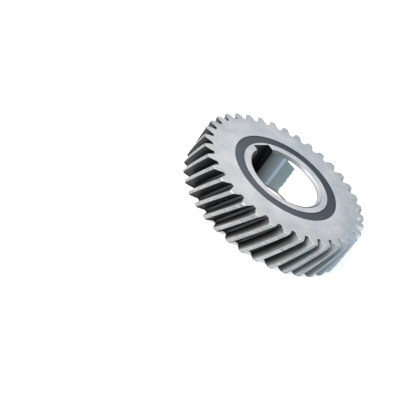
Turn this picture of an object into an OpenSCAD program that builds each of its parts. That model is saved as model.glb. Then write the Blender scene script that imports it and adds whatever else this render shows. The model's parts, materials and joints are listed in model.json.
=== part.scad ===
// Helical gear wheel with a keyed bore, in millimetres.
// It lies on its plain face. The face with the turned ring is up, the bore is
// along Z, and the keyway points along +Y. The origin is the centre of the plain face.

/* [Teeth] */
// Number of teeth
teeth = 36; // [30:1:60]
// Module in the plane square to a tooth
module_n = 3; // [2.25:0.25:4]
// Helix angle at the pitch circle, leaning to the right
helix_angle = 28.5; // [0:0.5:35]
// Pressure angle in the plane square to a tooth
pressure_angle = 20; // [17.5:0.5:22.5]
// Height of a tooth above the pitch circle, in modules
addendum = 1; // [0.8:0.05:1.1]
// Depth of a gap below the pitch circle, in modules
dedendum = 1.25; // [1.1:0.05:1.35]
// Radius of the round at the foot of each flank
foot_round = 1.1; // [0.4:0.1:1.2]
// Chamfer at both ends of each tooth's tip
tip_chamfer = 0.8; // [0.3:0.1:2]

/* [Body] */
// Width across the two faces
face_width = 30; // [12:1:60]
// Diameter of the bore
bore_d = 53; // [36:1:58]
// Chamfer at both ends of the bore
bore_chamfer = 1.5; // [0.5:0.25:3]

/* [Keyway] */
// Width of the keyway
keyway_w = 16; // [8:1:20]
// Depth of the keyway, from the bore's wall at its middle
keyway_depth = 5; // [2.5:0.5:6]

/* [Turned ring] */
// Inner diameter of the shallow ring in the upper face
ring_in_d = 67; // [64:1:76]
// Outer diameter of the ring
ring_out_d = 81; // [72:1:100]
// Depth of the ring
ring_depth = 0.8; // [0.2:0.1:3]

/* [Hidden] */

// Steps along the face width, down a flank and round a foot
helix_steps = 6;
flank_steps = 5;
foot_steps = 3;
// Steps round the turned blank
round_steps = 180;
// How far a cut runs past the surface that it opens
past = 0.5;

// The teeth as seen along the axis
transverse_module = module_n / cos(helix_angle);
transverse_angle = atan(tan(pressure_angle) / cos(helix_angle));
pitch_r = transverse_module * teeth / 2;
base_r = pitch_r * cos(transverse_angle);
tip_r = pitch_r + addendum * module_n;
root_r = pitch_r - dedendum * module_n;
pitch_angle = 360 / teeth;
// Turn of the teeth from the lower face to the upper one
helix_turn = face_width * tan(helix_angle) / pitch_r * 180 / PI;

function polar(r, a) = [r * cos(a), r * sin(a)];
function turned(p, a) = [p.x * cos(a) - p.y * sin(a), p.x * sin(a) + p.y * cos(a)];

// Angle that an involute has swept when it reaches radius r
function roll(r) = acos(base_r / r);
function involute(r) = tan(roll(r)) * 180 / PI - roll(r);
// Half the angle that a tooth fills at radius r
base_half = pitch_angle / 4 + involute(pitch_r);
function half_tooth(r) = base_half - involute(r);

// The widest round that fits between two flanks
function widest(r, n) = n == 0 ? r
    : widest(base_r * PI / 180 * (pitch_angle / 2 - base_half + involute(root_r + r)), n - 1);
foot_r = min(foot_round, widest(foot_round, 12));
// The round touches the root circle and the flank, and its centre is on the flank's normal
foot_centre_r = root_r + foot_r;
foot_centre_a = half_tooth(foot_centre_r) + foot_r / base_r * 180 / PI;
foot_normal_a = foot_centre_a - roll(foot_centre_r);
flank_low_r = norm([base_r, base_r * tan(roll(foot_centre_r)) - foot_r]);
flank_high_r = tip_r + past;

// One side of a tooth that is centred on X, from past its tip to the root
side = concat(
    [for (i = [0:flank_steps])
        let (r = flank_high_r + (flank_low_r - flank_high_r) * i / flank_steps)
        polar(r, half_tooth(r))],
    [for (i = [1:foot_steps])
        let (a = 270 + foot_normal_a + (foot_centre_a - foot_normal_a - 90) * i / foot_steps)
        polar(foot_centre_r, foot_centre_a) + polar(foot_r, a)]);
tooth = concat([for (i = [len(side) - 1:-1:0]) [side[i].x, -side[i].y]], side);

// Every tooth, cut along the helix and past the tip circle
module tooth_form() {
    rotate(90 - helix_turn)
        linear_extrude(height = face_width, twist = -helix_turn, slices = helix_steps)
            polygon([for (k = [0:teeth - 1]) for (p = tooth) turned(p, k * pitch_angle)]);
}

// The blank as it comes off the lathe, with its bore, chamfers and ring
module turned_blank() {
    bore_r = bore_d / 2;
    rotate_extrude($fn = round_steps)
        polygon([
            [bore_r + bore_chamfer, 0],
            [tip_r - tip_chamfer, 0],
            [tip_r, tip_chamfer],
            [tip_r, face_width - tip_chamfer],
            [tip_r - tip_chamfer, face_width],
            [ring_out_d / 2, face_width],
            [ring_out_d / 2, face_width - ring_depth],
            [ring_in_d / 2, face_width - ring_depth],
            [ring_in_d / 2, face_width],
            [bore_r + bore_chamfer, face_width],
            [bore_r, face_width - bore_chamfer],
            [bore_r, bore_chamfer]]);
}

module keyway() {
    translate([-keyway_w / 2, 0, -past])
        cube([keyway_w, bore_d / 2 + keyway_depth, face_width + 2 * past]);
}

module gear_wheel() {
    color([0.72, 0.74, 0.77])
        difference() {
            intersection() {
                turned_blank();
                tooth_form();
            }
            keyway();
        }
}

gear_wheel();
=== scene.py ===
import json
from math import acos, atan, cos, hypot, pi, radians, sin, sqrt, tan

import bmesh
import bpy
from mathutils import Matrix, Vector


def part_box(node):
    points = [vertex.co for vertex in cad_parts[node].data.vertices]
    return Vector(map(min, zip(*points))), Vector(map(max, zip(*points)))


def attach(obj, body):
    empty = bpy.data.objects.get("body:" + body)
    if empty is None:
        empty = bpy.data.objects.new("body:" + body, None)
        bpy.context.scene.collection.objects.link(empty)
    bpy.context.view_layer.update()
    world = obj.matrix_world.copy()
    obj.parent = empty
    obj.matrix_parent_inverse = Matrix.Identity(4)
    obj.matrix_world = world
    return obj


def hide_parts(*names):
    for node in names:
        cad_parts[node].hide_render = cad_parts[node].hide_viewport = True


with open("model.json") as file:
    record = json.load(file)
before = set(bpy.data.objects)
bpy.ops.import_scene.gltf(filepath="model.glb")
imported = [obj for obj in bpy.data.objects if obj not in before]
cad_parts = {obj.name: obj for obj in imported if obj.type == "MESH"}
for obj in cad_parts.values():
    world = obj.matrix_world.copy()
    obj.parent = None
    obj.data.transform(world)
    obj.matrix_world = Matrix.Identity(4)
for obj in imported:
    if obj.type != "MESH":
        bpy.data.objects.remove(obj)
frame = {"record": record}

bl_info = {
    "name": "Helical gear wheel",
    "version": (1, 0, 0),
    "blender": (4, 5, 0),
    "location": "3D View > Sidebar > Gear wheel",
    "description": "Finishes a keyed helical gear wheel in steel and sets it in a small studio",
    "category": "Object",
}

NODE = "gear_wheel"
MM = 0.001
# Points closer than this are one
SAME_POINT = 0.001 * MM
# Share of the way from a chord's middle to the corner at which a round passes: turned, and on a tooth
TURNED_SHARE, TOOTH_SHARE = 0.41, 0.4
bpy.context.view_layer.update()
LOW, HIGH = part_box(NODE)
BORE = next(mount for mount in frame["record"]["mounts"] if mount["kind"] == "bore")


class GearSizes(bpy.types.PropertyGroup):
    """Sizes of the gear wheel, as the solid model has them."""

    teeth: bpy.props.IntProperty(
        name="Teeth", description="Number of teeth", default=36, min=12)
    module_n: bpy.props.FloatProperty(
        name="Module", description="Module in the plane square to a tooth",
        default=3 * MM, unit="LENGTH")
    helix_angle: bpy.props.FloatProperty(
        name="Helix angle", description="Lean of the teeth at the pitch circle, to the right",
        default=radians(28.5), subtype="ANGLE")
    pressure_angle: bpy.props.FloatProperty(
        name="Pressure angle", description="Pressure angle in the plane square to a tooth",
        default=radians(20), subtype="ANGLE")
    addendum: bpy.props.FloatProperty(
        name="Addendum", description="Height above the pitch circle, in modules", default=1.0)
    dedendum: bpy.props.FloatProperty(
        name="Dedendum", description="Depth below the pitch circle, in modules", default=1.25)
    foot_round: bpy.props.FloatProperty(
        name="Foot round", description="Radius at the foot of each flank",
        default=1.1 * MM, unit="LENGTH")
    tip_chamfer: bpy.props.FloatProperty(
        name="Tip chamfer", description="Chamfer at both ends of each tip",
        default=0.8 * MM, unit="LENGTH")
    face_width: bpy.props.FloatProperty(
        name="Face width", description="Width across the two faces",
        default=HIGH.z - LOW.z, unit="LENGTH")
    bore_r: bpy.props.FloatProperty(
        name="Bore radius", description="Radius of the bore",
        default=BORE["dims"]["r_mm"] * MM, unit="LENGTH")
    bore_chamfer: bpy.props.FloatProperty(
        name="Bore chamfer", description="Chamfer at both ends of the bore",
        default=1.5 * MM, unit="LENGTH")
    keyway_w: bpy.props.FloatProperty(
        name="Keyway width", description="Width of the keyway",
        default=16 * MM, unit="LENGTH")
    keyway_floor: bpy.props.FloatProperty(
        name="Keyway floor", description="Distance from the axis to the keyway's floor",
        default=31.5 * MM, unit="LENGTH")
    ring_in_r: bpy.props.FloatProperty(
        name="Ring inner radius", description="Inner radius of the turned ring",
        default=33.5 * MM, unit="LENGTH")
    ring_out_r: bpy.props.FloatProperty(
        name="Ring outer radius", description="Outer radius of the turned ring",
        default=40.5 * MM, unit="LENGTH")
    ring_depth: bpy.props.FloatProperty(
        name="Ring depth", description="Depth of the turned ring",
        default=0.8 * MM, unit="LENGTH")
    # Height of the band that carries the painted shade line under each chamfer of the bore
    bore_edge: bpy.props.FloatProperty(
        name="Bore edge", description="Height of the dark line under the bore's chamfer",
        default=0.45 * MM, unit="LENGTH")
    edge_break: bpy.props.FloatProperty(
        name="Edge break", description="Round that deburring leaves on each sharp edge",
        default=0.15 * MM, unit="LENGTH")


class GearFinish(bpy.types.PropertyGroup):
    """Colours of the steel, one for each way that it was machined, and colours of painted light and shade.
    """

    ground: bpy.props.FloatVectorProperty(
        name="Ground faces", description="Colour of the ground end faces",
        default=(0.322, 0.332, 0.351), subtype="COLOR")
    # Painted light: a warmer colour laid over one side of the ground faces
    warm_lit_ground: bpy.props.FloatVectorProperty(
        name="Warm ground faces", description="Colour of the ground faces on their warmer side",
        default=(0.336, 0.333, 0.341), subtype="COLOR")
    land: bpy.props.FloatVectorProperty(
        name="Tip lands", description="Colour of the turned tips",
        default=(0.285, 0.295, 0.305), subtype="COLOR")
    chamfer: bpy.props.FloatVectorProperty(
        name="Tip chamfers", description="Colour of the chamfers at the ends of the tips",
        default=(0.24, 0.243, 0.246), subtype="COLOR")
    # Partly painted highlight: deburred steel, made lighter than the faces beside it
    edge: bpy.props.FloatVectorProperty(
        name="Broken edges", description="Colour of the edges that deburring has brightened",
        default=(0.37, 0.38, 0.39), subtype="COLOR")
    drive: bpy.props.FloatVectorProperty(
        name="Drive flanks", description="Colour of the flanks that carry the load",
        default=(0.27, 0.275, 0.27), subtype="COLOR")
    # Painted shade: the near-black of the coast flanks
    coast: bpy.props.FloatVectorProperty(
        name="Coast flanks", description="Colour of the flanks that keep their dark film",
        default=(0.035, 0.041, 0.048), subtype="COLOR")
    # Painted shade: the near-black floor between the teeth
    gullet: bpy.props.FloatVectorProperty(
        name="Gullet floor", description="Colour of the narrow floor between two teeth",
        default=(0.032, 0.035, 0.038), subtype="COLOR")
    # Painted light: the lighter, bluer load flanks away from the painted shade
    lit_drive: bpy.props.FloatVectorProperty(
        name="Clean drive flanks", description="Colour of the load flanks away from the oil",
        default=(0.36, 0.39, 0.41), subtype="COLOR")
    # Painted light: the lighter, bluer coast flanks away from the painted shade
    lit_coast: bpy.props.FloatVectorProperty(
        name="Clean coast flanks", description="Colour of those flanks where the film has worn off",
        default=(0.45, 0.50, 0.53), subtype="COLOR")
    # Bearing of the middle of the side where the flanks carry painted shade
    shade_bearing: bpy.props.FloatProperty(
        name="Film side", description="Bearing of the middle of the side that keeps its oil film",
        default=radians(187), subtype="ANGLE")
    ring: bpy.props.FloatVectorProperty(
        name="Turned ring", description="Colour of the dark ring",
        default=(0.078, 0.085, 0.099), subtype="COLOR")
    bore: bpy.props.FloatVectorProperty(
        name="Bore", description="Colour of the honed bore",
        default=(0.15, 0.195, 0.22), subtype="COLOR")
    # Painted light: the near-white side of the bore, where its wall mirrors a white surface
    lit_bore: bpy.props.FloatVectorProperty(
        name="Polished bore", description="Colour of the side of the bore that the shaft has polished",
        default=(0.97, 0.98, 0.98), subtype="COLOR")
    # Middle of the bore's painted light
    lit_bearing: bpy.props.FloatProperty(
        name="Polished side", description="Bearing of the middle of the polished side",
        default=radians(-22), subtype="ANGLE")
    # Painted reflection: the pale streak down the bore
    streak: bpy.props.FloatVectorProperty(
        name="Bore streak", description="Colour of the pale streak down the bore",
        default=(0.30, 0.38, 0.50), subtype="COLOR")
    streak_bearing: bpy.props.FloatProperty(
        name="Streak bearing", description="Bearing of the pale streak",
        default=radians(47.5), subtype="ANGLE")
    # Painted shade: the near-black of the keyway
    keyway: bpy.props.FloatVectorProperty(
        name="Keyway", description="Colour of the cut keyway",
        default=(0.005, 0.0065, 0.008), subtype="COLOR")


class StudioSettings(bpy.types.PropertyGroup):
    """The floor, the light and the camera."""

    floor: bpy.props.FloatVectorProperty(
        name="Floor", description="Colour of the floor",
        default=(0.95, 0.925, 0.90), subtype="COLOR")
    floor_glow: bpy.props.FloatProperty(
        name="Floor glow", description="Light that the floor adds to the picture, not to the steel",
        default=0.5, subtype="FACTOR")
    floor_half: bpy.props.FloatProperty(
        name="Floor reach", description="Half the length of the floor's sides",
        default=6.0, unit="LENGTH")
    wall: bpy.props.FloatVectorProperty(
        name="Wall", description="Colour of the plain wall behind",
        default=(0.93, 0.93, 0.93), subtype="COLOR")
    room: bpy.props.FloatVectorProperty(
        name="Room", description="Colour of the room's light",
        default=(0.72, 0.89, 1.0), subtype="COLOR")
    bright_side: bpy.props.FloatVectorProperty(
        name="Bright side", description="Direction of the bright side of the room",
        default=(-0.70, 0.55, 0.45), subtype="DIRECTION")
    bright_level: bpy.props.FloatProperty(
        name="Bright level", description="Strength of the room's light on its bright side",
        default=0.82, subtype="FACTOR")
    dim_level: bpy.props.FloatProperty(
        name="Dim level", description="Strength of the room's light on its dim side",
        default=0.04, subtype="FACTOR")
    key_side: bpy.props.FloatVectorProperty(
        name="Key side", description="Direction of the main soft light",
        default=(-0.63, 0.13, 0.77), subtype="DIRECTION")
    key_distance: bpy.props.FloatProperty(
        name="Key distance", description="Distance of the main soft light",
        default=0.42, unit="LENGTH")
    key_power: bpy.props.FloatProperty(
        name="Key power", description="Power of the main soft light",
        default=3.5, unit="POWER")
    key_colour: bpy.props.FloatVectorProperty(
        name="Key colour", description="Colour of the main soft light",
        default=(1.0, 0.93, 0.87), subtype="COLOR")
    fill_side: bpy.props.FloatVectorProperty(
        name="Fill side", description="Direction of the second soft light",
        default=(0.16, -0.93, 0.34), subtype="DIRECTION")
    fill_distance: bpy.props.FloatProperty(
        name="Fill distance", description="Distance of the second soft light", default=0.55, unit="LENGTH")
    fill_power: bpy.props.FloatProperty(
        name="Fill power", description="Power of the second soft light",
        default=1.9, unit="POWER")
    fill_colour: bpy.props.FloatVectorProperty(
        name="Fill colour", description="Colour of the second soft light",
        default=(0.80, 0.93, 1.0), subtype="COLOR")
    light_size: bpy.props.FloatProperty(
        name="Light size", description="Length of the sides of both soft lights",
        default=0.3, unit="LENGTH")
    camera_azimuth: bpy.props.FloatProperty(
        name="Azimuth", description="Bearing of the camera from the gear's origin",
        default=radians(-150.474), subtype="ANGLE")
    camera_elevation: bpy.props.FloatProperty(
        name="Elevation", description="Height of the camera over the lower face",
        default=radians(29.983), subtype="ANGLE")
    camera_distance: bpy.props.FloatProperty(
        name="Distance", description="Distance of the camera from the gear's origin",
        default=757.4 * MM, unit="LENGTH")
    camera_roll: bpy.props.FloatProperty(
        name="Roll", description="Turn of the gear's axis in the picture, clockwise from upright",
        default=radians(35.843), subtype="ANGLE")
    camera_aim: bpy.props.FloatVectorProperty(
        name="Aim", description="Point of the lower face's plane in the middle of the picture",
        default=(-55.492 * MM, 10.028 * MM, 0.0), subtype="XYZ")
    lens: bpy.props.FloatProperty(
        name="Lens", description="Focal length for a 36 mm wide picture, in millimetres",
        default=97.695, unit="CAMERA")


def polar(radius, angle):
    """A point of the plane, from its radius and its angle."""
    return Vector((radius * cos(angle), radius * sin(angle)))


class Involute:
    """The teeth as seen along the axis, worked out from the sizes."""

    def __init__(self, sizes):
        self.sizes = sizes
        transverse_module = sizes.module_n / cos(sizes.helix_angle)
        transverse_angle = atan(tan(sizes.pressure_angle) / cos(sizes.helix_angle))
        self.pitch_r = transverse_module * sizes.teeth / 2
        self.base_r = self.pitch_r * cos(transverse_angle)
        self.tip_r = self.pitch_r + sizes.addendum * sizes.module_n
        self.root_r = self.pitch_r - sizes.dedendum * sizes.module_n
        self.half_pitch = pi / sizes.teeth
        self.base_half = self.half_pitch / 2 + self.swept(self.pitch_r)
        self.turn_per_metre = tan(sizes.helix_angle) / self.pitch_r

    def roll(self, radius):
        return acos(self.base_r / radius)

    def swept(self, radius):
        return tan(self.roll(radius)) - self.roll(radius)

    def half_tooth(self, radius):
        """Half the angle that a tooth fills at a radius."""
        return self.base_half - self.swept(radius)

    def half_outline(self, cap_r, foot_steps=6, flank_steps=9, land_steps=3):
        """One side of a tooth about the X axis, from the middle of the gap to the middle of its tip.

        The tip stands at a radius of cap_r, and its edge is broken.
        """
        foot_r = self.sizes.foot_round
        break_r = self.sizes.edge_break
        centre_r = self.root_r + foot_r
        centre_a = self.half_tooth(centre_r) + foot_r / self.base_r
        normal_a = centre_a - self.roll(centre_r)
        low_r = sqrt(self.base_r ** 2 + (self.base_r * tan(self.roll(centre_r)) - foot_r) ** 2)
        high_r = cap_r - break_r
        outline = [polar(self.root_r, self.half_pitch)]
        for step in range(foot_steps + 1):
            direction = centre_a + pi + (normal_a + pi / 2 - centre_a) * step / foot_steps
            outline.append(polar(centre_r, centre_a) + polar(foot_r, direction))
        for step in range(1, flank_steps + 1):
            radius = low_r + (high_r - low_r) * step / flank_steps
            outline.append(polar(radius, self.half_tooth(radius)))
        land_a = self.half_tooth(cap_r) - break_r / cap_r
        chord = (outline[-1] + polar(cap_r, land_a)) / 2
        outline.append(chord.lerp(polar(cap_r, self.half_tooth(cap_r)), TOOTH_SHARE))
        for step in range(land_steps + 1):
            outline.append(polar(cap_r, land_a * (1 - step / land_steps)))
        return outline


def sunk(outline, depth):
    """The outline moved into the tooth by a depth. Both ends stay on their rays."""
    moved = [outline[0] * (1 - depth / outline[0].length)]
    for before, point, after in zip(outline, outline[1:], outline[2:]):
        along = (after - before).normalized()
        moved.append(point + Vector((along.y, -along.x)) * depth)
    moved.append(outline[-1] * (1 - depth / outline[-1].length))
    return moved


def tooth_levels(sizes, involute, steps=18):
    """Heights up a tooth, each with the radius of its tip there and the depth of its edge break."""
    broken, chamfer, width = sizes.edge_break, sizes.tip_chamfer, sizes.face_width
    face_r = involute.tip_r - chamfer
    bend = 0.3 * broken
    lower = [
        (0.0, face_r, broken),
        (bend, face_r + bend, bend),
        (broken, face_r + broken, 0.0),
        (chamfer - broken / 2, involute.tip_r - broken / 2, 0.0),
        (chamfer + broken / 2, involute.tip_r, 0.0)]
    first = lower[-1][0]
    middle = [
        (first + (width - 2 * first) * step / steps, involute.tip_r, 0.0)
        for step in range(1, steps)]
    upper = [(width - height, cap_r, depth) for height, cap_r, depth in reversed(lower)]
    return lower + middle + upper


def only(kind, geometry):
    """The vertices or the edges out of what an operator made."""
    return [item for item in geometry if isinstance(item, kind)]


def cut_teeth(bm, sizes, involute):
    """The band of teeth: half a tooth drawn up its height, mirrored, spun round and twisted."""
    place = bm.verts.layers.int.new("place")
    levels = tooth_levels(sizes, involute)
    edges = []
    for height, cap_r, depth in levels:
        outline = sunk(involute.half_outline(cap_r), depth)
        if edges:
            made = bmesh.ops.extrude_edge_only(bm, edges=edges)["geom"]
            edges = only(bmesh.types.BMEdge, made)
            row = only(bmesh.types.BMVert, made)
        else:
            row = [bm.verts.new() for _ in outline]
            for index, vert in enumerate(row):
                vert[place] = index
            edges = [bm.edges.new(pair) for pair in zip(row, row[1:])]
        for vert in row:
            vert.co = outline[vert[place]].to_3d() + Vector((0, 0, height))
    bmesh.ops.mirror(bm, geom=bm.verts[:] + bm.edges[:] + bm.faces[:], axis="Y", merge_dist=SAME_POINT)
    copies = sizes.teeth - 1
    bmesh.ops.spin(
        bm, geom=bm.verts[:] + bm.edges[:] + bm.faces[:], cent=(0, 0, 0), axis=(0, 0, 1),
        angle=2 * involute.half_pitch * copies, steps=copies, use_duplicate=True)
    bmesh.ops.remove_doubles(bm, verts=bm.verts[:], dist=SAME_POINT)
    for vert in bm.verts:
        turn = pi / 2 + (vert.co.z - sizes.face_width) * involute.turn_per_metre
        vert.co.rotate(Matrix.Rotation(turn, 3, "Z"))


def corner_points(before, corner, after, size):
    """Three points that round off a corner of a turned profile."""
    start = corner + (before - corner).normalized() * size
    end = corner + (after - corner).normalized() * size
    return [start, ((start + end) / 2).lerp(corner, TURNED_SHARE), end]


def turn_inside(bm, sizes, join_r, steps=144):
    """The turned surfaces inside the teeth, from the upper face down through the bore to the lower one."""
    width, bore_r, chamfer = sizes.face_width, sizes.bore_r, sizes.bore_chamfer
    ring_z = width - sizes.ring_depth
    edge_z = chamfer + sizes.bore_edge
    corners = [
        (join_r, width), (sizes.ring_out_r, width), (sizes.ring_out_r, ring_z),
        (sizes.ring_in_r, ring_z), (sizes.ring_in_r, width), (bore_r + chamfer, width),
        (bore_r, width - chamfer), (bore_r, width - edge_z), (bore_r, edge_z), (bore_r, chamfer),
        (bore_r + chamfer, 0), (join_r, 0)]
    corners = [Vector(corner) for corner in corners]
    profile = [corners[0]]
    for before, corner, after in zip(corners, corners[1:], corners[2:]):
        profile += corner_points(before, corner, after, sizes.edge_break)
    profile.append(corners[-1])
    row = [bm.verts.new((0, point.x, point.y)) for point in profile]
    edges = [bm.edges.new(pair) for pair in zip(row, row[1:])]
    bmesh.ops.spin(
        bm, geom=row + edges, cent=(0, 0, 0), axis=(0, 0, 1),
        angle=2 * pi, steps=steps, use_merge=True)


def close_faces(bm, sizes):
    """The flat rings of both end faces, between the teeth and the turned surfaces."""
    for height in (0, sizes.face_width):
        rim = [
            edge for edge in bm.edges
            if edge.is_boundary and all(abs(vert.co.z - height) < SAME_POINT for vert in edge.verts)]
        bmesh.ops.triangle_fill(bm, edges=rim, use_beauty=True, normal=(0, 0, 1))


def cut_keyway(piece, sizes):
    """Cuts the keyway through the hub. The cutter flares at both ends, which breaks the edges there."""
    past = 1 * MM
    flare = past + sizes.edge_break
    width = sizes.face_width
    bm = bmesh.new()
    bmesh.ops.create_cube(bm, size=1)
    bmesh.ops.scale(bm, vec=(sizes.keyway_w, sizes.keyway_floor, width + 2 * past), verts=bm.verts)
    bmesh.ops.translate(bm, vec=(0, sizes.keyway_floor / 2, width / 2), verts=bm.verts)
    for height in (sizes.edge_break, width - sizes.edge_break):
        bmesh.ops.bisect_plane(
            bm, geom=bm.verts[:] + bm.edges[:] + bm.faces[:], plane_co=(0, 0, height), plane_no=(0, 0, 1))
    for vert in bm.verts:
        if not 0 <= vert.co.z <= width:
            vert.co.x += flare if vert.co.x > 0 else -flare
            vert.co.y += flare if vert.co.y > 0 else 0
    cutter = new_object("keyway_cutter", bm)
    cut = piece.modifiers.new("keyway", "BOOLEAN")
    cut.operation = "DIFFERENCE"
    cut.solver = "EXACT"
    cut.object = cutter
    apply_modifiers(piece)
    bpy.data.objects.remove(cutter)


def new_object(name, bm):
    """An object in the scene with the shape of a bmesh, which is freed."""
    mesh = bpy.data.meshes.new(name)
    bm.to_mesh(mesh)
    bm.free()
    piece = bpy.data.objects.new(name, mesh)
    bpy.context.scene.collection.objects.link(piece)
    return piece


def apply_modifiers(piece):
    """Turns what the modifiers make into the piece's own mesh."""
    graph = bpy.context.evaluated_depsgraph_get()
    mesh = bpy.data.meshes.new_from_object(piece.evaluated_get(graph))
    piece.modifiers.clear()
    old = piece.data
    piece.data = mesh
    mesh.name = piece.name
    bpy.data.meshes.remove(old)


def smooth_normals(piece, sharp_angle=radians(40)):
    """Rounds the shading of curved surfaces and keeps the ground faces flat."""
    piece.data.shade_smooth()
    piece.data.set_sharp_from_angle(angle=sharp_angle)
    weights = piece.modifiers.new("flat faces", "WEIGHTED_NORMAL")
    weights.keep_sharp = True
    weights.weight = 50
    apply_modifiers(piece)


def model_gear(sizes):
    """The finished wheel as one closed mesh."""
    involute = Involute(sizes)
    bm = bmesh.new()
    cut_teeth(bm, sizes, involute)
    turn_inside(bm, sizes, join_r=(sizes.ring_out_r + involute.root_r) / 2)
    close_faces(bm, sizes)
    bmesh.ops.recalc_face_normals(bm, faces=bm.faces[:])
    piece = new_object("gear_wheel_finished", bm)
    cut_keyway(piece, sizes)
    smooth_normals(piece)
    return piece


def surface_kind(centre, normal, sizes, involute):
    """How a face was machined, from its place and the direction that it faces."""
    slack = 0.05 * MM
    # Cosines past which a face is square on, level, tilted, or looks out of a tip or a gap
    square_on, level, tilted, tip_out, gap_out = 0.95, 0.98, 0.6, 0.97, 0.9
    radius = hypot(centre.x, centre.y)
    outward = (centre.x * normal.x + centre.y * normal.y) / radius
    around = (centre.x * normal.y - centre.y * normal.x) / radius
    from_end = min(centre.z, sizes.face_width - centre.z)
    if centre.y > 0 and (
            abs(abs(centre.x) - sizes.keyway_w / 2) < slack and abs(normal.x) > square_on
            or abs(centre.y - sizes.keyway_floor) < slack and normal.y < -square_on):
        return "keyway"
    if radius < sizes.bore_r + slack and from_end > sizes.bore_chamfer + sizes.bore_edge:
        return "bore"
    if radius < sizes.bore_r + 2 * slack:
        return "bore_edge"
    if radius < sizes.bore_r + sizes.bore_chamfer - slack and from_end > slack:
        return "bore_chamfer"
    past_ring = sizes.edge_break + slack
    in_ring = sizes.ring_in_r - past_ring < radius < sizes.ring_out_r + past_ring
    upper_half = centre.z > sizes.face_width / 2
    if in_ring and upper_half and (abs(normal.z) < level or from_end > slack):
        return "turned_ring"
    if abs(normal.z) < level and from_end < sizes.edge_break:
        return "broken_edge"
    if radius < involute.root_r - slack or abs(normal.z) > level:
        return "ground_face"
    if abs(normal.z) > tilted:
        return "tip_chamfer"
    if radius > involute.tip_r - slack and outward > tip_out:
        return "tip_land"
    if radius > involute.tip_r - 2 * sizes.edge_break and from_end > sizes.tip_chamfer:
        return "broken_edge"
    if radius < involute.root_r + 2 * slack and outward > gap_out:
        return "gullet_floor"
    return "coast_flank" if around > 0 else "drive_flank"


# Range that the values of a noise mostly fill
NOISE_LOW, NOISE_HIGH = 0.3, 0.7
# What the slow drift of tone does to the steel: its two colour filters, and its change of roughness
COOL_DRIFT, WARM_DRIFT = (0.90, 0.96, 1.01), (1.07, 1.02, 0.99)
SMOOTH_DRIFT, ROUGH_DRIFT = -0.04, 0.05
DRIFT_SIZE = 16 * MM


def plug(tree, socket, value):
    """Links a socket to the one that feeds it, or gives it a number, vector or colour."""
    if isinstance(value, bpy.types.NodeSocket):
        tree.links.new(value, socket)
    else:
        socket.default_value = value


def add_node(tree, kind, inputs=None, **settings):
    """A node with its settings, its numbers and the sockets that feed it."""
    node = tree.nodes.new(kind)
    for name, value in settings.items():
        setattr(node, name, value)
    for key, value in (inputs or {}).items():
        plug(tree, node.inputs[key], value)
    return node


def maths(tree, operation, *values):
    return add_node(tree, "ShaderNodeMath", dict(enumerate(values)), operation=operation).outputs[0]


def vector_maths(tree, operation, *values):
    node = add_node(tree, "ShaderNodeVectorMath", dict(enumerate(values)), operation=operation)
    return node.outputs["Value" if operation in ("LENGTH", "DOT_PRODUCT") else "Vector"]


def scaled(tree, vector, factor):
    inputs = {"Vector": vector, "Scale": factor}
    return add_node(tree, "ShaderNodeVectorMath", inputs, operation="SCALE").outputs["Vector"]


def flattened(tree, place):
    """A place moved straight down to the plane of the lower face."""
    return vector_maths(tree, "MULTIPLY", place, (1, 1, 0))


def radius_of(tree, place):
    """Distance from the wheel's axis."""
    return vector_maths(tree, "LENGTH", flattened(tree, place))


def height_of(tree, place):
    """Height over the wheel's lower face."""
    return add_node(tree, "ShaderNodeSeparateXYZ", {"Vector": place}).outputs["Z"]


def mix_values(tree, factor, first, second):
    return add_node(tree, "ShaderNodeMix", {"Factor": factor, "A": first, "B": second}).outputs["Result"]


def mix_colours(tree, factor, first, second, blend="MIX"):
    node = add_node(tree, "ShaderNodeMix", data_type="RGBA", blend_type=blend)
    sockets = {socket.identifier: socket for socket in node.inputs}
    for name, value in (("Factor_Float", factor), ("A_Color", first), ("B_Color", second)):
        plug(tree, sockets[name], value)
    return next(socket for socket in node.outputs if socket.identifier == "Result_Color")


def between(tree, value, low, high, start=0.0, end=1.0):
    """Goes from low to high while a value goes from start to end, and holds there."""
    inputs = {"Value": value, "From Min": start, "From Max": end, "To Min": low, "To Max": high}
    return add_node(tree, "ShaderNodeMapRange", inputs).outputs["Result"]


def cloud(tree, place, scale, detail=2.0, roughness=0.5):
    inputs = {"Vector": place, "Scale": scale, "Detail": detail, "Roughness": roughness}
    return add_node(tree, "ShaderNodeTexNoise", inputs).outputs[0]


def shared_group(name, inputs, outputs):
    """An empty node group with its sockets, and the nodes at its two ends."""
    group = bpy.data.node_groups.new(name, "ShaderNodeTree")
    for label, kind in inputs.items():
        group.interface.new_socket(label, in_out="INPUT", socket_type=kind)
    for label in outputs:
        group.interface.new_socket(label, in_out="OUTPUT", socket_type="NodeSocketFloat")
    return group, group.nodes.new("NodeGroupInput").outputs, group.nodes.new("NodeGroupOutput").inputs


def place_group(tree, group, **inputs):
    """A shared effect in a material, with the material's own values for its inputs."""
    node = add_node(tree, "ShaderNodeGroup", node_tree=group)
    for label, value in inputs.items():
        plug(tree, node.inputs[label.replace("_", " ").capitalize()], value)
    return node.outputs


def make_turned_lines():
    """Fine lines that a lathe or wheel leaves round the axis, each fading in and out along its arc."""
    group, given, made = shared_group(
        "turned_lines",
        {"Place": "NodeSocketVector", "Spacing": "NodeSocketFloat", "Arcs": "NodeSocketFloat"},
        ["Lines"])
    place = given["Place"]
    outwards = maths(group, "ADD", radius_of(group, place), height_of(group, place))
    line = maths(group, "DIVIDE", outwards, given["Spacing"])
    across = add_node(group, "ShaderNodeCombineXYZ", {"Z": line}).outputs[0]
    along = scaled(group, vector_maths(group, "NORMALIZE", flattened(group, place)), given["Arcs"])
    pattern = cloud(group, vector_maths(group, "ADD", along, across), 1.0, detail=3.0, roughness=0.65)
    group.links.new(pattern, made["Lines"])
    return group


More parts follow.
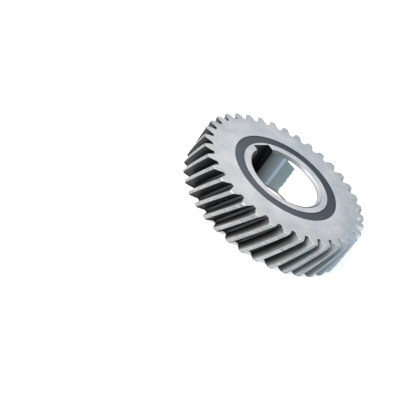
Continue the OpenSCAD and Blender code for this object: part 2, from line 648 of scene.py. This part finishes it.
def make_helix_streaks():
    """Streaks that the cutter leaves along the teeth, following their lean, and feed marks across them."""
    group, given, made = shared_group(
        "helix_streaks",
        {"Place": "NodeSocketVector", "Lean": "NodeSocketFloat", "Spacing": "NodeSocketFloat"},
        ["Streaks", "Feed marks"])
    place = given["Place"]
    turn = maths(group, "MULTIPLY", height_of(group, place), given["Lean"])
    back = maths(group, "MULTIPLY", turn, -1.0)
    upright = add_node(
        group, "ShaderNodeVectorRotate", {"Vector": place, "Angle": back}, rotation_type="Z_AXIS").outputs[0]
    streak_stretch, feed_squash, feed_scale = 0.02, 0.1, 1200.0
    stretched = vector_maths(group, "MULTIPLY", upright, (1, 1, streak_stretch))
    fine = maths(group, "DIVIDE", 1.0, given["Spacing"])
    streaks = cloud(group, scaled(group, stretched, fine), 1.0, detail=3.0, roughness=0.6)
    squashed = vector_maths(group, "MULTIPLY", upright, (feed_squash, feed_squash, 1))
    group.links.new(streaks, made["Streaks"])
    group.links.new(cloud(group, squashed, feed_scale, detail=1.0), made["Feed marks"])
    return group


def make_mottle():
    """The slow drift of tone over ground steel, and the small specks of handling."""
    group, given, made = shared_group(
        "mottle", {"Place": "NodeSocketVector", "Size": "NodeSocketFloat"}, ["Drift", "Specks"])
    specks_in_drift = 14.0
    scale = maths(group, "DIVIDE", 1.0, given["Size"])
    drift = cloud(group, given["Place"], scale, detail=4.0, roughness=0.55)
    fine = maths(group, "MULTIPLY", scale, specks_in_drift)
    specks = cloud(group, given["Place"], fine, detail=2.0, roughness=0.7)
    group.links.new(between(group, drift, 0.0, 1.0, start=NOISE_LOW, end=NOISE_HIGH), made["Drift"])
    group.links.new(between(group, specks, 0.0, 1.0, start=0.55, end=0.75), made["Specks"])
    return group


def make_tooth_height():
    """Zero at the root circle and one at the tip circle."""
    group, given, made = shared_group(
        "tooth_height",
        {"Place": "NodeSocketVector", "Root radius": "NodeSocketFloat", "Tip radius": "NodeSocketFloat"},
        ["Height"])
    radius = radius_of(group, given["Place"])
    height = between(group, radius, 0.0, 1.0, start=given["Root radius"], end=given["Tip radius"])
    group.links.new(height, made["Height"])
    return group


def make_effects():
    return {
        "lines": make_turned_lines(),
        "streaks": make_helix_streaks(),
        "mottle": make_mottle(),
        "height": make_tooth_height(),
    }


def filtered(colour, factors):
    """A colour with its red, green and blue each times a factor."""
    return (*(channel * factor for channel, factor in zip(colour, factors)), 1)


class SteelMaterial:
    """A steel finish under construction: its place, its colour, its roughness and its relief."""

    def __init__(self, name, effects, colour, metallic, roughness):
        self.material = bpy.data.materials.new(name)
        self.material.use_nodes = True
        self.tree = self.material.node_tree
        self.tree.nodes.clear()
        self.effects = effects
        self.metallic = metallic
        self.place = add_node(self.tree, "ShaderNodeTexCoord").outputs["Object"]
        self.radius = radius_of(self.tree, self.place)
        self.height = height_of(self.tree, self.place)
        mottle = place_group(self.tree, effects["mottle"], place=self.place, size=DRIFT_SIZE)
        self.drift, self.specks = mottle["Drift"], mottle["Specks"]
        cool, warm = filtered(colour, COOL_DRIFT), filtered(colour, WARM_DRIFT)
        self.colour = mix_colours(self.tree, self.drift, cool, warm)
        self.rough = between(self.tree, self.drift, roughness + SMOOTH_DRIFT, roughness + ROUGH_DRIFT)
        self.relief = None

    def facing(self, bearing):
        """Cosine of the angle to a bearing: one on that side of the wheel and minus one on the other."""
        unit = vector_maths(self.tree, "NORMALIZE", flattened(self.tree, self.place))
        return vector_maths(self.tree, "DOT_PRODUCT", unit, polar(1, bearing).to_3d()[:])

    def side(self, bearing, start, end):
        """A mask of one side of the wheel, from zero to one between two cosines of the angle to it."""
        return between(self.tree, self.facing(bearing), 0.0, 1.0, start, end)

    def both(self, mask, other):
        """One where two masks are one."""
        return maths(self.tree, "MULTIPLY", mask, other)

    def shade(self, level):
        """Multiplies the colour by a level."""
        grey = add_node(self.tree, "ShaderNodeCombineColor", {0: level, 1: level, 2: level}).outputs[0]
        self.colour = mix_colours(self.tree, 1.0, self.colour, grey, blend="MULTIPLY")

    def tone(self, value, first, last, start=NOISE_LOW, end=NOISE_HIGH):
        """Shades the colour from a first factor to a last one while a value goes from start to end."""
        self.shade(between(self.tree, value, first, last, start, end))

    def patch(self, factor, mask):
        """Shades the colour by a factor where a mask is one."""
        self.tone(mask, 1.0, factor, start=0.0, end=1.0)

    def filter(self, factors, mask):
        """Multiplies red, green and blue by factors where a mask is one."""
        shade = mix_colours(self.tree, mask, (1, 1, 1, 1), (*factors, 1))
        self.colour = mix_colours(self.tree, 1.0, self.colour, shade, blend="MULTIPLY")

    def tint(self, value, colour, start, end):
        """Lays another colour over the first while a value goes from start to end."""
        mask = between(self.tree, value, 0.0, 1.0, start, end)
        self.colour = mix_colours(self.tree, mask, self.colour, (*colour, 1))

    def roughen(self, value, amount):
        """Adds to the roughness or takes from it with a noise."""
        change = between(self.tree, value, -amount, amount, start=NOISE_LOW, end=NOISE_HIGH)
        self.rough = maths(self.tree, "ADD", self.rough, change)

    def raise_by(self, value, depth):
        """Adds relief of a depth in metres, one bump over the other."""
        inputs = {"Strength": 1.0, "Distance": depth, "Height": value}
        if self.relief is not None:
            inputs["Normal"] = self.relief
        self.relief = add_node(self.tree, "ShaderNodeBump", inputs).outputs["Normal"]

    def finish(self):
        """The finished material, with a shader of its own."""
        shader = add_node(self.tree, "ShaderNodeBsdfPrincipled", {
            "Base Color": self.colour, "Roughness": self.rough, "Metallic": self.metallic,
            "Normal": self.relief})
        output = self.tree.nodes.new("ShaderNodeOutputMaterial")
        self.tree.links.new(shader.outputs[0], output.inputs["Surface"])
        return self.material


def turned_finish(
        name, effects, colour, metallic, roughness, arcs, contrast, spacing=0.3 * MM, depth=0.004 * MM):
    """Steel with fine lines round the axis, each broken into arcs."""
    steel = SteelMaterial(name, effects, colour, metallic, roughness)
    lines = place_group(
        steel.tree, effects["lines"], place=steel.place, spacing=spacing, arcs=arcs)["Lines"]
    steel.tone(lines, 1 - contrast, 1 + contrast)
    steel.roughen(lines, amount=0.05)
    steel.raise_by(lines, depth)
    return steel


def ground_face(effects, finish, sizes):
    """A mottled ground face with painted light and shade: warmer and lighter on some sides, darker towards
    the rim, and a painted shade line at the near edge of the bore.
    """
    steel = turned_finish(
        "ground_face", effects, finish.ground, metallic=0.15, roughness=0.6,
        arcs=5.0, contrast=0.035, spacing=0.45 * MM)
    # Painted light: warmer on the side near bearing 195 degrees
    steel.tint(steel.facing(radians(195)), finish.warm_lit_ground, start=-0.2, end=1.6)
    steel.tone(steel.drift, 0.87, 1.06, start=0.0, end=1.0)
    steel.tone(steel.specks, 1.04, 0.74, start=0.0, end=1.0)
    # Painted shade towards the rim, and painted light towards bearings 25 and 175 degrees
    steel.tone(steel.radius, 1.07, 0.88, start=40 * MM, end=63 * MM)
    steel.tone(steel.facing(radians(25)), 0.96, 1.05, start=0.3, end=1.0)
    steel.patch(1.04, steel.side(radians(175), start=0.2, end=1.0))
    # Painted shade: a dark line just outside the bore's chamfer on the near side
    rim_r = sizes.bore_r + sizes.bore_chamfer
    rim = between(steel.tree, steel.radius, 1.0, 0.0, start=rim_r + 0.8 * MM, end=rim_r + 1.1 * MM)
    near = steel.side(radians(265), start=0.55, end=0.98)
    steel.patch(0.12, steel.both(rim, near))
    return steel.finish()


def turned_ring(effects, finish):
    """The dark ring in the upper face, with painted light on one side."""
    steel = turned_finish(
        "turned_ring", effects, finish.ring, metallic=0.6, roughness=0.45,
        arcs=3.0, contrast=0.18, spacing=0.35 * MM, depth=0.012 * MM)
    steel.tone(steel.facing(radians(175)), 0.86, 1.28, start=-1.0, end=1.0)
    return steel.finish()


def tip_land(effects, finish):
    """Turned tips, darker towards the upper face, with painted light and shade by side and a narrow painted
    highlight.
    """
    steel = turned_finish(
        "tip_land", effects, finish.land, metallic=0.3, roughness=0.42,
        arcs=14.0, contrast=0.45, spacing=0.8 * MM, depth=0.006 * MM)
    # Painted light and shade by side
    steel.tone(steel.facing(radians(165)), 1.15, 0.95, start=-0.3, end=1.0)
    steel.tone(steel.height, 1.08, 0.86, start=8 * MM, end=29 * MM)
    # Painted highlight on a narrow side
    steel.patch(1.18, steel.side(radians(229), start=0.975, end=0.996))
    return steel.finish()


def tip_chamfer(effects, finish):
    """The chamfers at the tips' ends, with painted shade at the lower face and at the far side, and painted
    light by side.
    """
    steel = turned_finish(
        "tip_chamfer", effects, finish.chamfer, metallic=0.4, roughness=0.5,
        arcs=40.0, contrast=0.06, depth=0.006 * MM)
    steel.tone(steel.facing(radians(165)), 1.2, 0.97, start=-0.3, end=1.0)
    steel.tone(steel.height, 0.35, 1.0, start=1 * MM, end=15 * MM)
    steel.patch(0.5, steel.side(radians(70), start=0.0, end=0.8))
    return steel.finish()


def honed_bore(effects, finish):
    """The bore: painted light on one side, painted shade beside the keyway, and a painted reflection as a
    pale streak between.
    """
    steel = turned_finish(
        "honed_bore", effects, finish.bore, metallic=0.3, roughness=0.38,
        arcs=6.0, contrast=0.07, spacing=0.6 * MM, depth=0.006 * MM)
    side = steel.facing(finish.lit_bearing)
    # Painted shade beside the keyway, rising to painted light on the far side
    steel.tone(side, 0.02, 0.45, start=-0.7, end=0.0)
    steel.tone(side, 0.55, 2.35, start=-0.04, end=0.27)
    steel.tone(side, 1.0, 1.15, start=0.3, end=0.62)
    # Painted reflection: a narrow pale streak
    steel.tint(steel.facing(finish.streak_bearing), finish.streak, start=0.9982, end=1.0)
    # Painted light: a near-white patch with a ragged border, reaching further round near the upper face
    waver = 0.045
    ragged = between(steel.tree, cloud(steel.tree, steel.place, scale=300.0, detail=3.0), -waver, waver)
    upper_edge = between(steel.tree, steel.height, 0.0, 0.24, start=25 * MM, end=27 * MM)
    border = maths(steel.tree, "ADD", ragged, upper_edge)
    steel.tint(maths(steel.tree, "ADD", side, border), finish.lit_bore, start=0.662, end=0.682)
    return steel.finish()


def bore_edge(effects, finish):
    """The painted shade line under each chamfer of the bore."""
    return turned_finish(
        "bore_edge", effects, finish.ring, metallic=0.4, roughness=0.4, arcs=8.0, contrast=0.1).finish()


def bore_chamfer(effects, finish):
    """The bore's chamfers, with painted light beside the bore's painted light and painted shade across from
    it.
    """
    steel = turned_finish(
        "bore_chamfer", effects, finish.land, metallic=0.4, roughness=0.5, arcs=4.0, contrast=0.04)
    side = steel.facing(finish.lit_bearing - radians(13))
    steel.tone(side, 0.22, 0.5, start=-0.4, end=0.5)
    steel.tone(side, 1.0, 2.6, start=0.5, end=0.95)
    return steel.finish()


def broken_edge(effects, finish):
    """The narrow rounds that deburring leaves, bright steel with a painted highlight, and with painted shade
    on one side.
    """
    steel = turned_finish(
        "broken_edge", effects, finish.edge, metallic=0.25, roughness=0.5, arcs=12.0, contrast=0.06)
    # Painted shade on one side
    steel.patch(0.8, steel.side(radians(268), start=0.8, end=0.97))
    return steel.finish()


def shaded_side(steel, finish, start, end):
    """One on the side of the wheel where the flanks carry painted shade, and zero on the other."""
    painted_shade = steel.side(finish.shade_bearing, start, end)
    painted_shade.node.interpolation_type = "SMOOTHSTEP"
    return painted_shade


def tooth_height(steel, involute):
    """Height up a tooth, from zero at the root to one at the tip."""
    return place_group(
        steel.tree, steel.effects["height"], place=steel.place,
        root_radius=involute.root_r, tip_radius=involute.tip_r)["Height"]


def climb(steel, height, foot, *stretches):
    """A level at the foot of a tooth that rises in stretches up it, each with its rise, start and end."""
    level = foot
    for rise, start, end in stretches:
        level = maths(steel.tree, "ADD", level, between(steel.tree, height, 0.0, rise, start, end))
    return level


def cut_flank(name, effects, colour, lean):
    """Steel with the marks of the cutter along the teeth."""
    steel = SteelMaterial(name, effects, colour, metallic=0.6, roughness=0.38)
    marks = place_group(
        steel.tree, effects["streaks"], place=steel.place, lean=lean, spacing=0.35 * MM)
    steel.tone(marks["Streaks"], 0.88, 1.12)
    steel.tone(marks["Feed marks"], 0.96, 1.04)
    steel.roughen(marks["Streaks"], amount=0.06)
    steel.raise_by(marks["Streaks"], depth=0.008 * MM)
    steel.raise_by(marks["Feed marks"], depth=0.004 * MM)
    return steel


def drive_flank(effects, finish, involute):
    """Pale at the tip and darker towards the root as painted shade, most of all on one side, with painted
    light and shade by side and by the upper face.
    """
    steel = cut_flank("drive_flank", effects, finish.drive, involute.turn_per_metre)
    tree = steel.tree
    up_tooth = tooth_height(steel, involute)
    # Painted shade: darker towards the root, and deeper on the shaded side
    shaded_rise = climb(steel, up_tooth, 0.05, (0.15, 0.0, 0.6), (0.82, 0.6, 1.0))
    lit_rise = climb(steel, up_tooth, 0.05, (0.55, 0.0, 0.42), (0.32, 0.45, 1.0))
    level = mix_values(tree, shaded_side(steel, finish, start=0.56, end=1.0), lit_rise, shaded_rise)
    lit_side = steel.side(finish.shade_bearing, start=0.2, end=-0.05)
    lit_level = 0.95
    # Painted light: a lighter, bluer colour and an even level away from the painted shade
    steel.tint(steel.facing(finish.shade_bearing), finish.lit_drive, start=0.3, end=0.0)
    steel.shade(mix_values(tree, lit_side, level, lit_level))
    steel.tone(steel.height, 1.65, 1.15, start=0.0, end=9 * MM)
    steel.tone(steel.height, 1.0, 0.85, start=12 * MM, end=24 * MM)

    # Painted light and shade at the ends of the flanks by the upper face
    face_end = between(tree, steel.height, 0.0, 1.0, start=23 * MM, end=28 * MM)
    gain = between(tree, steel.facing(radians(195)), -0.2, 0.38, start=0.75, end=1.0)
    steel.shade(maths(tree, "MULTIPLY_ADD", face_end, gain, 1.0))
    steel.filter((0.93, 1.0, 1.06), face_end)
    steel.patch(1.3, steel.both(face_end, steel.side(radians(288), start=0.97, end=0.998)))

    # Sides of the wheel where the flanks carry painted shade or painted light
    steel.patch(0.55, steel.side(radians(175), start=0.85, end=0.97))
    steel.patch(1.2, steel.side(radians(253), start=0.985, end=0.999))
    steel.patch(0.72, steel.side(radians(308), start=0.9, end=0.99))
    lower = between(tree, steel.height, 1.0, 0.0, start=18 * MM, end=24 * MM)
    steel.patch(0.68, steel.both(lower, steel.side(radians(268), start=0.975, end=0.998)))
    upper = between(tree, steel.height, 0.0, 1.0, start=16 * MM, end=22 * MM)
    steel.patch(2.0, steel.both(upper, steel.side(radians(350), start=0.86, end=0.98)))
    steel.filter((1.25, 1.06, 0.96), steel.both(upper, steel.side(radians(320), start=0.85, end=0.97)))
    return steel.finish()


def coast_flank(effects, finish, involute):
    """Near black with painted shade, and lighter steel as painted light on the other side."""
    steel = cut_flank("coast_flank", effects, finish.coast, involute.turn_per_metre)
    up_tooth = tooth_height(steel, involute)
    # Painted light towards bearing 210 degrees
    steel.tone(steel.facing(radians(210)), 0.9, 1.5, start=0.3, end=1.0)
    steel.tint(shaded_side(steel, finish, start=-0.3, end=0.2), finish.lit_coast, start=1.0, end=0.0)
    # Painted shade: darker towards the root, and deeper still at the far side
    steel.shade(climb(steel, up_tooth, 0.1, (0.7, 0.0, 0.45), (0.35, 0.45, 1.0)))
    deepen = between(steel.tree, up_tooth, -0.6, 0.6, start=0.1, end=0.7)
    far_side = steel.side(radians(108), start=0.92, end=0.99)
    steel.shade(maths(steel.tree, "MULTIPLY_ADD", deepen, far_side, 1.0))
    return steel.finish()


def gullet_floor(effects, finish, involute):
    """The floor between two teeth, dark with painted shade, and lighter with painted light on the other
    side.
    """
    steel = cut_flank("gullet_floor", effects, finish.gullet, involute.turn_per_metre)
    # Painted light towards bearing 220 degrees
    steel.tone(steel.facing(radians(220)), 0.7, 1.6, start=0.5, end=1.0)
    steel.tint(shaded_side(steel, finish, start=-0.3, end=0.2), finish.lit_coast, start=1.0, end=0.0)
    return steel.finish()


def keyway(effects, finish):
    """The keyway, near black with painted shade, with the marks of the broach along it."""
    steel = SteelMaterial("keyway", effects, finish.keyway, metallic=0.5, roughness=0.45)
    marks = place_group(steel.tree, effects["streaks"], place=steel.place, lean=0.0, spacing=0.4 * MM)
    steel.tone(marks["Streaks"], 0.8, 1.2)
    steel.roughen(marks["Streaks"], amount=0.06)
    steel.raise_by(marks["Streaks"], depth=0.01 * MM)
    return steel.finish()


def dress_gear(piece, sizes, finish):
    """Gives each face the steel that its machining leaves."""
    involute = Involute(sizes)
    effects = make_effects()
    materials = {
        "ground_face": ground_face(effects, finish, sizes),
        "turned_ring": turned_ring(effects, finish),
        "tip_land": tip_land(effects, finish),
        "tip_chamfer": tip_chamfer(effects, finish),
        "drive_flank": drive_flank(effects, finish, involute),
        "coast_flank": coast_flank(effects, finish, involute),
        "gullet_floor": gullet_floor(effects, finish, involute),
        "bore": honed_bore(effects, finish),
        "bore_edge": bore_edge(effects, finish),
        "bore_chamfer": bore_chamfer(effects, finish),
        "broken_edge": broken_edge(effects, finish),
        "keyway": keyway(effects, finish),
    }
    piece.data.materials.clear()
    for material in materials.values():
        piece.data.materials.append(material)
    order = list(materials)
    for face in piece.data.polygons:
        face.material_index = order.index(surface_kind(face.center, face.normal, sizes, involute))


def pale_floor(colour, glow):
    """Pale to the eye, and darker to the light that it throws back up at the steel."""
    material = bpy.data.materials.new("studio_floor")
    material.use_nodes = True
    tree = material.node_tree
    tree.nodes.clear()
    seen = add_node(tree, "ShaderNodeLightPath").outputs["Is Camera Ray"]
    dull = filtered(colour, (0.6, 0.6, 0.6))
    shader = add_node(tree, "ShaderNodeBsdfPrincipled", {
        "Base Color": mix_colours(tree, seen, dull, (*colour, 1)), "Roughness": 0.8,
        "Emission Color": (*colour, 1), "Emission Strength": maths(tree, "MULTIPLY", seen, glow)})
    output = tree.nodes.new("ShaderNodeOutputMaterial")
    tree.links.new(shader.outputs[0], output.inputs["Surface"])
    return material


def lay_floor(studio):
    """One flat square at the height of the wheel's lower face."""
    bm = bmesh.new()
    bmesh.ops.create_grid(bm, x_segments=1, y_segments=1, size=studio.floor_half)
    floor = new_object("studio_floor", bm)
    floor.data.materials.append(pale_floor(studio.floor, studio.floor_glow))


def light_room(studio):
    """Soft light all round, bright on one side and dim on the other."""
    world = bpy.data.worlds.new("soft_room")
    world.use_nodes = True
    tree = world.node_tree
    tree.nodes.clear()
    direction = add_node(tree, "ShaderNodeTexCoord").outputs["Generated"]
    toward = vector_maths(tree, "DOT_PRODUCT", direction, tuple(studio.bright_side))
    level = between(tree, toward, studio.dim_level, studio.bright_level, start=-0.8, end=0.8)
    level.node.interpolation_type = "SMOOTHSTEP"
    room = add_node(tree, "ShaderNodeBackground", {"Color": (*studio.room, 1), "Strength": level})
    wall = add_node(tree, "ShaderNodeBackground", {"Color": (*studio.wall, 1), "Strength": 1.0})
    seen = add_node(tree, "ShaderNodeLightPath").outputs["Is Camera Ray"]
    mixed = add_node(tree, "ShaderNodeMixShader", {0: seen, 1: room.outputs[0], 2: wall.outputs[0]})
    output = tree.nodes.new("ShaderNodeOutputWorld")
    tree.links.new(mixed.outputs[0], output.inputs["Surface"])
    bpy.context.scene.world = world


def hang_light(name, toward, distance, size, power, colour):
    """A square soft light that looks at the middle of the gear and doesn't show."""
    lamp = bpy.data.lights.new(name, "AREA")
    lamp.shape = "SQUARE"
    lamp.size = size
    lamp.energy = power
    lamp.color = colour
    light = bpy.data.objects.new(name, lamp)
    light.location = Vector(toward).normalized() * distance
    light.rotation_euler = light.location.to_track_quat("Z", "Y").to_euler()
    light.visible_camera = False
    bpy.context.scene.collection.objects.link(light)


def set_camera(studio):
    """The camera stands at its bearing and height, looks at its aim and leans by its roll."""
    flat = polar(cos(studio.camera_elevation), studio.camera_azimuth)
    place = Vector((flat.x, flat.y, sin(studio.camera_elevation))) * studio.camera_distance
    back = (place - Vector(studio.camera_aim)).normalized()
    camera = bpy.data.cameras.new("photo_camera")
    camera.lens = studio.lens
    camera.clip_start = 10 * MM
    eye = bpy.data.objects.new("photo_camera", camera)
    upright = back.to_track_quat("Z", "Y").to_matrix()
    eye.matrix_world = Matrix.Translation(place) @ (
        upright @ Matrix.Rotation(studio.camera_roll, 3, "Z")).to_4x4()
    bpy.context.scene.collection.objects.link(eye)
    bpy.context.scene.camera = eye


class GEAR_OT_wheel(bpy.types.Operator):
    """Models the finished gear wheel and gives each surface its steel"""

    bl_idname = "gear.wheel"
    bl_label = "Gear wheel"

    def execute(self, context):
        sizes = context.scene.gear_sizes
        piece = model_gear(sizes)
        dress_gear(piece, sizes, context.scene.gear_finish)
        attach(piece, "root")
        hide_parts(NODE)
        return {"FINISHED"}


class GEAR_OT_stage(bpy.types.Operator):
    """Sets up the floor, the light and the camera"""

    bl_idname = "gear.stage"
    bl_label = "Floor, light and camera"

    def execute(self, context):
        studio = context.scene.gear_studio
        lay_floor(studio)
        light_room(studio)
        hang_light(
            "key_light", studio.key_side, studio.key_distance, studio.light_size,
            studio.key_power, studio.key_colour)
        hang_light(
            "fill_light", studio.fill_side, studio.fill_distance, studio.light_size,
            studio.fill_power, studio.fill_colour)
        set_camera(studio)
        context.scene.view_settings.view_transform = "Standard"
        return {"FINISHED"}


class GEAR_PT_panel(bpy.types.Panel):
    """Sizes, colours and studio of the gear wheel"""

    bl_idname = "GEAR_PT_panel"
    bl_label = "Gear wheel"
    bl_space_type = "VIEW_3D"
    bl_region_type = "UI"
    bl_category = "Gear wheel"

    def draw(self, context):
        scene = context.scene
        for settings in (scene.gear_sizes, scene.gear_finish, scene.gear_studio):
            box = self.layout.box()
            for name in settings.__annotations__:
                box.prop(settings, name)
        self.layout.operator("gear.wheel")
        self.layout.operator("gear.stage")


CLASSES = (GearSizes, GearFinish, StudioSettings, GEAR_OT_wheel, GEAR_OT_stage, GEAR_PT_panel)


def register():
    for cls in CLASSES:
        bpy.utils.register_class(cls)
    bpy.types.Scene.gear_sizes = bpy.props.PointerProperty(type=GearSizes)
    bpy.types.Scene.gear_finish = bpy.props.PointerProperty(type=GearFinish)
    bpy.types.Scene.gear_studio = bpy.props.PointerProperty(type=StudioSettings)


def unregister():
    del bpy.types.Scene.gear_studio
    del bpy.types.Scene.gear_finish
    del bpy.types.Scene.gear_sizes
    for cls in reversed(CLASSES):
        bpy.utils.unregister_class(cls)


def main():
    register()
    bpy.ops.gear.wheel()
    bpy.ops.gear.stage()


if __name__ == "__main__":
    main()
